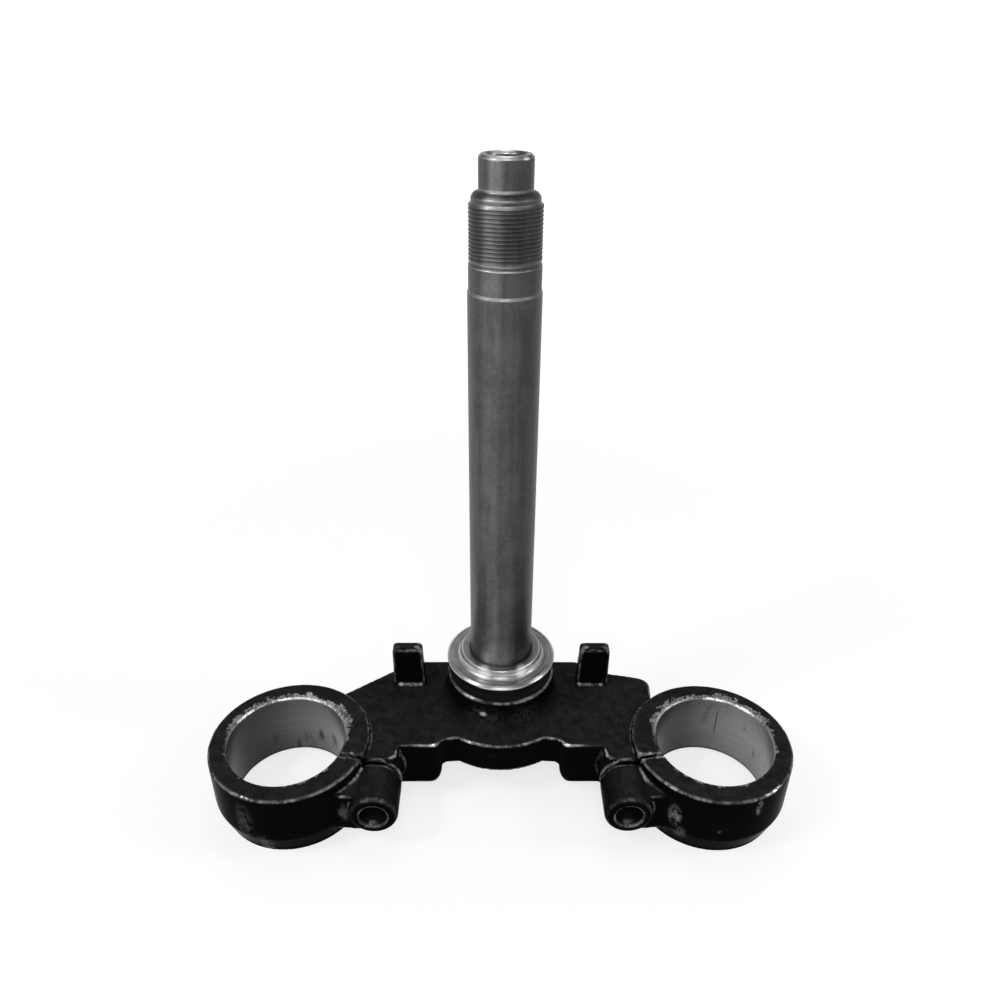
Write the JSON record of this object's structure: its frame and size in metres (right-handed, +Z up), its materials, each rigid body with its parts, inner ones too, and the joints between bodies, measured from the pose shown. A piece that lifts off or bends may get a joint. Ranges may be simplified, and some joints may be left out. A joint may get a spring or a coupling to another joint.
{
  "type": "motorcycle triple clamp",
  "caption": "Lower fork yoke with two split clamps, pinch bosses and stops, and an upright hollow steering stem with bearing race and seal.",
  "frame": {"origin": "on the steering axis, in the plane of the hub face that carries the dust seal and, above it, the lower bearing race", "axes": "+Z up the steering stem, -Y towards the fork clamps and the way the pinch bolts come out, +X towards the clamp that has the squared plate corner behind it"},
  "size_m": [0.2462, 0.0893, 0.2601],
  "materials": {
    "black_paint": "gloss black paint over forged steel, bare steel in the clamp bores",
    "stem_steel": "dull turned steel with a mottled dark oxide",
    "race_steel": "ground and polished bearing steel",
    "seal_rubber": "soft black rubber"
  },
  "bodies": {
    "root": {"bottom_yoke": "black_paint", "steering_stem": "stem_steel", "lower_bearing_race": "race_steel", "dust_seal": "seal_rubber"}
  },
  "joints": []
}
